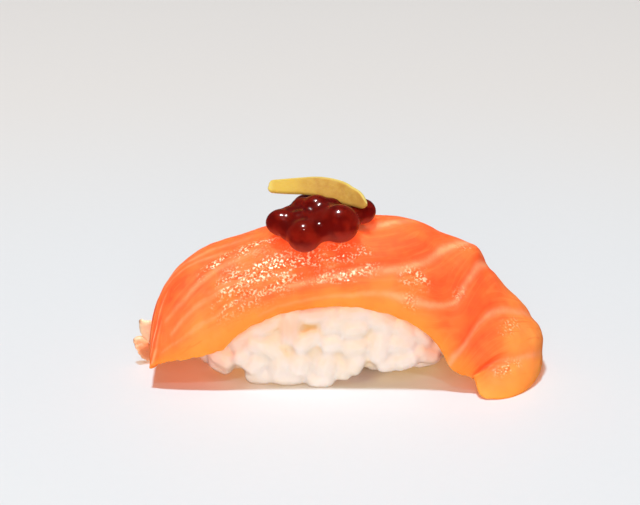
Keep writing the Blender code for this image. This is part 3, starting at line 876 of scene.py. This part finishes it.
def fusedMesh(item, voxel, closing, smoothings):
    # joins overlapping closed shapes, draws the swollen skin back so that crevices stay filled
    for name in ("fuse", "fuseAgain"):
        remesh = item.modifiers.new(name, "REMESH")
        remesh.mode = "VOXEL"
        remesh.voxel_size = voxel * mm
        if name == "fuse":
            drawBack = item.modifiers.new("drawBack", "DISPLACE")
            drawBack.mid_level = 0
            drawBack.strength = -closing * mm
    soften = item.modifiers.new("soften", "SMOOTH")
    soften.factor = 0.5
    soften.iterations = smoothings
    bpy.context.view_layer.update()
    made = bpy.data.meshes.new_from_object(item.evaluated_get(bpy.context.evaluated_depsgraph_get()))
    old = item.data
    bpy.data.objects.remove(item)
    bpy.data.meshes.remove(old)
    return made


def riceMaterial():
    material, tree, surface = newMaterial("cookedRice", riceLook["finish"])
    colours = riceLook["colours"]
    tint = mixColour(tree, remap(tree, speckle(tree, placeOf(tree), 0.004, 2), 0.4, 0.62), *colours["grain"])
    # painted shade: darker in the hollows between the grains, darkest in the open gaps
    for low, high, colour in ((0.0, 0.5, colours["creviceShade"]), (0.5, 1.0, colours["gapShade"])):
        tint = mixColour(tree, remap(tree, valueOf(tree, "cavityShade"), low, high), tint, colour)
    # painted shade with orange bounce light from the salmon above
    tint = mixColour(tree, valueOf(tree, "salmonShadeAndGlow"), tint, colours["salmonShadeAndGlow"])
    feed(tree, surface.inputs["Base Color"], tint)
    moistRelief(tree, surface, riceLook["grain"])
    letLampsThrough(tree, surface, colours["passed"])
    return material


def addRice(cover):
    randomness = np.random.default_rng(riceLook["seed"])
    bed = searchTree(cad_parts["rice"].data)
    grains, openings, shadedSpots = scatterGrains(bed, randomness)
    shape = bmesh.new()
    extra = 2 * riceLook["closing"]
    for middle, axis, out, length, width in grains:
        bend = randomness.uniform(0, riceLook["mostBend"])
        grainShape(shape, middle, axis, out, length + extra, width + extra, bend)
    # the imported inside: the outline drawn in, so that the grains stand out from it
    core = bmesh.new()
    core.from_mesh(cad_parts["rice"].data)
    bmesh.ops.remove_doubles(core, verts=core.verts, dist=1e-6)
    core.normal_update()
    inward = riceLook["coreDepth"] - riceLook["closing"]
    for vert in core.verts:
        spot = vert.co / mm - Vector(shapeOrigin) - vert.normal * inward
        vert.co = (spot.x, spot.y, max(spot.z, 0.3))
    for _ in range(3):
        bmesh.ops.smooth_vert(core, verts=core.verts, factor=0.5, use_axis_x=True, use_axis_y=True,
                              use_axis_z=True)
    shape.from_mesh(meshFrom(core, "riceCore"))
    mesh = fusedMesh(looseObject("riceGrains", shape), riceLook["voxel"], riceLook["closing"], 2)
    mesh.name = "riceGrains"
    points = shapePoints(mesh)
    points += 0.10 * fieldNoise(points, 1.3, 3)[:, None] * (points - np.array(riceLook["middle"])) / 12
    points[:, 2] = np.maximum(points[:, 2], 0)
    coverTree = searchTree(cover.data)
    cavityShade = np.zeros(len(points))
    salmonShadeAndGlow = np.zeros(len(points))
    for i, point in enumerate(points):
        spot = Vector(point)
        hit, normal, _, _ = bed.find_nearest(spot)
        depth = (hit - spot).dot(normal)
        # painted shade mask from how deep a point lies inside the rice's outline, strongest near the open
        # gaps
        nearOpen = max(math.exp(-((place - spot).length / (radius - 1)) ** 4) for place, radius in openings)
        creviceShade = min(max((depth - 0.8) / 1.2, 0), 1)
        cavityShade[i] = max(0.5 * creviceShade, nearOpen * min(max((depth - 0.6) / 0.8, 0), 1))
        # painted shade and glow: strongest close under the salmon and at the listed spots
        away = coverTree.find_nearest(spot, 6)[3]
        salmonShadeAndGlow[i] = 0 if away is None else 0.6 * math.exp(-away / 1.5)
        for place, radius, strength in shadedSpots:
            salmonShadeAndGlow[i] = max(salmonShadeAndGlow[i], strength * math.exp(-((place - spot).length / radius) ** 2))
    placeVertices(mesh, points)
    setValue(mesh, "cavityShade", cavityShade)
    setValue(mesh, "salmonShadeAndGlow", salmonShadeAndGlow)
    addPiece("rice_grains", mesh, riceMaterial(), ("rice",))
    print("rice", len(grains), "grains", len(mesh.polygons), "faces")


def roeMaterial():
    material, tree, surface = newMaterial("roeSkin", roeLook["finish"])
    colours = roeLook["colours"]
    cloudy = remap(tree, speckle(tree, placeOf(tree), 0.0028, 2), 0.38, 0.64)
    tint = mixColour(tree, cloudy, colours["dark"], colours["bright"])
    # painted shade darkens the tops of the eggs; painted glow and reflected floor light make the undersides
    # paler
    tint = tinted(tree, tint, "topShade", 0.6, tuple(0.35 * c for c in colours["dark"]))
    tint = tinted(tree, tint, "downward", 0.55, colours["below"])
    feed(tree, surface.inputs["Base Color"], tint)
    moistRelief(tree, surface, roeLook["grain"])
    letLampsThrough(tree, surface, colours["passed"])
    return material


def addEgg(name, centre, size, material):
    shape = bmesh.new()
    across, around = roeLook["segments"]
    bmesh.ops.create_uvsphere(shape, u_segments=across, v_segments=around, radius=1)
    for vert in shape.verts:
        lump = roeLook["eggFullness"] + roeLook["eggWaver"] * noise.noise(vert.co * 1.3 + Vector(centre))
        vert.co = Vector([centre[k] + vert.co[k] * size[k] * lump for k in range(3)])
    mesh = meshFrom(shape, name + "Egg")
    placeVertices(mesh, coordinatesOf(mesh))
    addPiece(name + "_egg", mesh, material, (name,))


def addRoe():
    material = roeMaterial()
    swollen = roeLook["filmClosing"] + roeLook["filmDepth"]
    shape = bmesh.new()
    for name, (centre, size) in roeLook["eggs"].items():
        addEgg(name, centre, size, material)
    for centre, size in (*roeLook["eggs"].values(), *roeLook["fillers"]):
        ball = bmesh.ops.create_uvsphere(shape, u_segments=24, v_segments=16, radius=1)["verts"]
        for vert in ball:
            vert.co = Vector([centre[k] + vert.co[k] * (size[k] + swollen) for k in range(3)])
    mesh = fusedMesh(looseObject("roeFilm", shape), roeLook["filmVoxel"], roeLook["filmClosing"], 10)
    mesh.name = "roeFilm"
    facing = np.empty(len(mesh.vertices) * 3, np.float32)
    mesh.vertex_normals.foreach_get("vector", facing)
    upward = facing.reshape(-1, 3)[:, 2]
    # masks for the painted shade on top and the painted glow underneath
    setValue(mesh, "topShade", smoothStep(upward, -0.1, 0.8))
    setValue(mesh, "downward", smoothStep(-upward, 0.05, 0.6))
    jellyPieces.objects.link(addPiece("roe_film", mesh, material))
    print("roe film", len(mesh.polygons), "faces")


strip = {
    "colours": {
        "inside": ((0.385, 0.198, 0.040), (0.435, 0.252, 0.054)), "nearLeft": (0.515, 0.335, 0.062),
        "edge": (0.575, 0.445, 0.125),
    },
    "finish": {
        "Roughness": 0.6, "Specular IOR Level": 0.05, "Subsurface Weight": 0.5,
        "Subsurface Radius": (1.0, 0.7, 0.2), "Subsurface Scale": 0.0012,
    },
    "grain": (0.9, 0.06, 0.35, 0.04),
    "stations": (
        (0.00, -12.6, -0.6, 33.6, 2.5, 50), (0.20, -9.2, -1.0, 33.4, 3.2, 50),
        (0.45, -4.8, -1.45, 33.45, 3.75, 50), (0.65, -1.5, -2.5, 32.8, 4.6, 47),
        (0.85, 2.2, -4.6, 32.05, 4.55, 38), (0.93, 3.8, -5.3, 31.75, 3.6, 27),
        (1.00, 5.1, -5.9, 32.3, 0.9, 15),
    ),
    "evened": 0.13,
    "endSlant": 0.2,
    "thickness": 1.0,
    "waver": 0.05,
    "cells": (110, 26),
}

scrap = {
    "colours": {
        "low": (0.66, 0.24, 0.10), "high": (0.86, 0.55, 0.34), "edge": (0.90, 0.62, 0.42),
        "speck": (0.32, 0.12, 0.04), "browned": (0.30, 0.13, 0.05), "passed": (0.90, 0.72, 0.58),
    },
    "finish": {
        "Roughness": 0.5, "Subsurface Weight": 0.4, "Subsurface Radius": (1.0, 0.6, 0.3),
        "Subsurface Scale": 0.0015,
    },
    "grain": (0.9, 0.08, 0.3, 0.05),
    "root": (-34.15, 3.0, 3.9),
    # direction in degrees, how far the edge stands out
    "reach": (
        (79, 4.4), (97, 4.7), (112, 5.0), (126, 3.6), (146, 2.0), (156, 2.6),
        (167, 3.3), (184, 3.1), (203, 2.8), (226, 3.0), (250, 3.6), (273, 3.8),
    ),
    "brownCorners": (114, 171, 181),
    "cornerSpread": 3.5,
    "thickness": 0.9,
    "waver": 0.12,
    "cells": (90, 26),
}


def stripMiddle(t, s):
    # averaged along the strip, so that it bends evenly
    reach = np.minimum(strip["evened"], np.minimum(t, 1 - t))
    track = sum(stationTrack(strip["stations"], t + step * reach) for step in (-1, -0.5, 0, 0.5, 1)) / 5
    low, width, lean = track[..., :3], track[..., 3], track[..., 4]
    lean = np.radians(lean)
    side = np.stack([np.zeros_like(lean), np.sin(lean), np.cos(lean)], axis=-1)
    # the ends are rounded off
    fullness = np.sqrt(1 - 0.9 * (1 - np.clip(np.minimum(t, 1 - t) / 0.06, 0, 1)) ** 2.5)
    middle = low + side * (width * (0.5 + (s - 0.5) * fullness))[..., None]
    middle[..., 0] += strip["endSlant"] * s * (1 - t) ** 6
    return middle


def stripSkin(mesh, gridAlong, gridAcross, upper):
    t = (crowded(gridAlong) + 1) / 2
    s = (crowded(gridAcross) + 1) / 2
    middle = stripMiddle(t, s)
    out = facingOf(stripMiddle, t, s)
    rim = np.clip((1 - np.abs(2 * s - 1) ** 6) * (1 - np.abs(2 * t - 1) ** 30), 0, 1)
    lift = strip["thickness"] / 2 * np.sqrt(rim)
    rough = strip["waver"] * fieldNoise(middle, 0.9, 2) * np.sqrt(rim)
    setValue(mesh, "edge", smoothStep(np.maximum(2 * s - 1, np.maximum(1 - 2 * t, 0) ** 3), 0.62, 0.98))
    setValue(mesh, "nearLeft", smoothStep(1 - t, 0.45, 0.85))
    return middle + out * (np.where(upper, 1, -1) * lift + rough)[..., None]


def stripMaterial():
    material, tree, surface = newMaterial("citrusPeel", strip["finish"])
    colours = strip["colours"]
    cloudy = remap(tree, speckle(tree, placeOf(tree), 0.0016, 3), 0.35, 0.65)
    tint = mixColour(tree, cloudy, *colours["inside"])
    for name in ("nearLeft", "edge"):
        tint = mixColour(tree, valueOf(tree, name), tint, colours[name])
    feed(tree, surface.inputs["Base Color"], tint)
    moistRelief(tree, surface, strip["grain"])
    return material


def scrapTurn(t):
    first, last = scrap["reach"][0][0], scrap["reach"][-1][0]
    return first + (last - first) * t


def scrapMiddle(t, s):
    turn = scrapTurn(t)
    a = np.radians(turn)
    frayed = 1 + 0.02 * np.sin(a * 17) + 0.015 * np.sin(a * 41)
    span = stationTrack(scrap["reach"], turn)[..., 0] * frayed * (0.12 + 0.88 * s)
    root = np.array(scrap["root"])
    return np.stack([
        root[0] + span * np.cos(a), root[1] + 0.8 * np.sin(a * 3) * s, root[2] + span * np.sin(a)
    ], axis=-1)


def scrapSkin(mesh, gridAlong, gridAcross, upper):
    t = (gridAlong + 1) / 2
    s = (gridAcross + 1) / 2
    middle = scrapMiddle(t, s)
    rim = np.clip((1 - np.abs(2 * s - 1) ** 8) * (1 - np.abs(2 * t - 1) ** 14), 0, 1)
    lift = scrap["thickness"] / 2 * np.sqrt(rim)
    rough = scrap["waver"] * fieldNoise(middle, 0.8, 4) * np.sqrt(rim)
    setValue(mesh, "edge", smoothStep(s, 0.7, 1.0))
    setValue(mesh, "upward", smoothStep(1 - t, 0.45, 0.75))
    offCorner = np.min([np.abs(scrapTurn(t) - corner) for corner in scrap["brownCorners"]], axis=0)
    setValue(mesh, "browned", bell(offCorner / scrap["cornerSpread"]) * smoothStep(s, 0.78, 0.98))
    step = np.where(upper, -1, 1) * lift
    return middle + np.stack([0 * lift, step + rough, 0 * lift], axis=-1)


def scrapMaterial():
    material, tree, surface = newMaterial("tornScrap", scrap["finish"])
    colours = scrap["colours"]
    tint = mixColour(tree, valueOf(tree, "upward"), colours["low"], colours["high"])
    tint = tinted(tree, tint, "edge", 0.5, colours["edge"])
    specks = remap(tree, speckle(tree, placeOf(tree), 0.0009, 2), 0.66, 0.74)
    tint = mixColour(tree, specks, tint, colours["speck"])
    tint = tinted(tree, tint, "browned", 0.85, colours["browned"])
    feed(tree, surface.inputs["Base Color"], tint)
    moistRelief(tree, surface, scrap["grain"])
    letLampsThrough(tree, surface, colours["passed"])
    return material


studio = {
    "floorRadius": 3.0,
    "floorColour": (0.677, 0.692, 0.708),
    "floorFar": (0.695, 0.672, 0.652),
    "floorSpeck": (0.40, 0.40, 0.40),
    "floorInGloss": 0.12,
    # angle up from the camera's side, turn to the right, size, brightness
    "lamps": {
        "overhead": (84, -6, 0.22, 1.03),
        "front": (53, -4, 0.10, 0.12),
        "low": (16, 0, 1.00, 0.46),
        "fill": (16, 0, 1.00, 0.32),
        "softbox": (76, -16, 3.20, 13.0),
        "glint": (84, -6, 0.30, 4.0),
    },
    "lampDistance": 2.0,
    "softboxColour": (1.0, 0.93, 0.80),
    "worldColour": (0.95, 0.97, 1.0),
    "worldStrength": 0.11,
    "worldGloss": 0.16,
    "backdrop": (0.80, 0.77, 0.76),
    "target": (-3.24, 0.0, 22.15),
    "elevation": 17,
    "distance": 500,
    "lens": 156.25,
}


def addFloor():
    shape = bmesh.new()
    bmesh.ops.create_circle(shape, cap_ends=True, segments=96, radius=studio["floorRadius"])
    bmesh.ops.translate(shape, verts=shape.verts, vec=(0, 0, -2e-5))
    mesh = meshFrom(shape, "floor")
    floor = newObject("floor", mesh)
    material, tree, surface = newMaterial("paleFloor", {"Roughness": 0.6, "Specular IOR Level": 0.2})
    place = placeOf(tree)
    away = addNode(tree, "ShaderNodeVectorMath", operation="LENGTH")
    feed(tree, away.inputs[0], place)
    far = remap(tree, away.outputs["Value"], 0.06, 0.24)
    tint = mixColour(tree, far, studio["floorColour"], studio["floorFar"])
    faint = remap(tree, speckle(tree, place, 0.002, 3), 0.2, 0.8, 0.0, 0.02)
    tint = mixColour(tree, faint, tint, studio["floorSpeck"])
    # dimmer in reflections, as a small sheet in a dark room is
    dim = tuple(c * studio["floorInGloss"] for c in studio["floorColour"])
    tint = mixColour(tree, addNode(tree, "ShaderNodeLightPath").outputs["Is Glossy Ray"], tint, dim)
    feed(tree, surface.inputs["Base Color"], tint)
    mesh.materials.append(material)


def addLamp(name, angle, side, size, brightness):
    # brightness is what a white sheet facing the lamp would show
    distance = studio["lampDistance"]
    light = bpy.data.lights.new(name, "AREA")
    light.shape = "DISK"
    light.size = size
    light.energy = brightness * (math.pi * distance) ** 2
    lamp = newObject(name, light)
    up = math.radians(angle)
    toward = Vector((math.sin(math.radians(side)), -math.cos(up), math.sin(up))).normalized()
    lamp.location = toward * distance + Vector((0, 0, 0.015))
    lamp.rotation_mode = "QUATERNION"
    lamp.rotation_quaternion = toward.to_track_quat("Z", "Y")
    lamp.visible_camera = False
    return lamp


def addLamps():
    lamps = {name: addLamp(name, *values) for name, values in studio["lamps"].items()}
    # the low lamp lights the food alone, the softbox only shows in the wet salmon and the glint in the eggs
    lamps["low"].visible_glossy = False
    lamps["fill"].visible_glossy = False
    lamps["low"].light_linking.receiver_collection = litPieces
    lamps["softbox"].data.color = studio["softboxColour"]
    for name, pieces in (("softbox", wetPieces), ("glint", jellyPieces)):
        lamps[name].visible_diffuse = False
        lamps[name].visible_transmission = False
        lamps[name].light_linking.receiver_collection = pieces


def addWorld():
    world = bpy.data.worlds.new("studio")
    scene.world = world
    world.use_nodes = True
    tree = world.node_tree
    background = tree.nodes["Background"]
    path = addNode(tree, "ShaderNodeLightPath")
    soft = tuple(c * studio["worldStrength"] for c in studio["worldColour"])
    gloss = tuple(c * studio["worldGloss"] for c in studio["worldColour"])
    light = mixColour(tree, path.outputs["Is Glossy Ray"], soft, gloss)
    light = mixColour(tree, path.outputs["Is Camera Ray"], light, studio["backdrop"])
    feed(tree, background.inputs["Color"], light)


def addCamera():
    data = bpy.data.cameras.new("view")
    data.sensor_width = 36
    data.lens = studio["lens"]
    data.clip_start = 0.01
    data.clip_end = 10
    camera = newObject("view", data)
    up = math.radians(studio["elevation"])
    back = Vector((0, -math.cos(up), math.sin(up)))
    camera.location = (Vector(np.array(studio["target"]) + shapeOrigin) + back * studio["distance"]) * mm
    camera.rotation_mode = "QUATERNION"
    camera.rotation_quaternion = back.to_track_quat("Z", "Y")
    scene.camera = camera


litPieces = bpy.data.collections.new("litPieces")
wetPieces = bpy.data.collections.new("wetPieces")
jellyPieces = bpy.data.collections.new("jellyPieces")
addCamera()
addWorld()
addFloor()
addLamps()
scene.view_settings.view_transform = "Standard"
print("stage set")
salmon = addFish()
print("salmon laid", len(salmon.data.polygons), "faces")
addRice(salmon)
addRoe()
for node, kind, look, skin, material in (
    ("citrus_strip", "peel", strip, stripSkin, stripMaterial()),
    ("ragged_scrap", "torn", scrap, scrapSkin, scrapMaterial()),
):
    addPiece(node + "_" + kind, closedSheet(look["cells"], skin), material, (node,))
print("toppings placed")
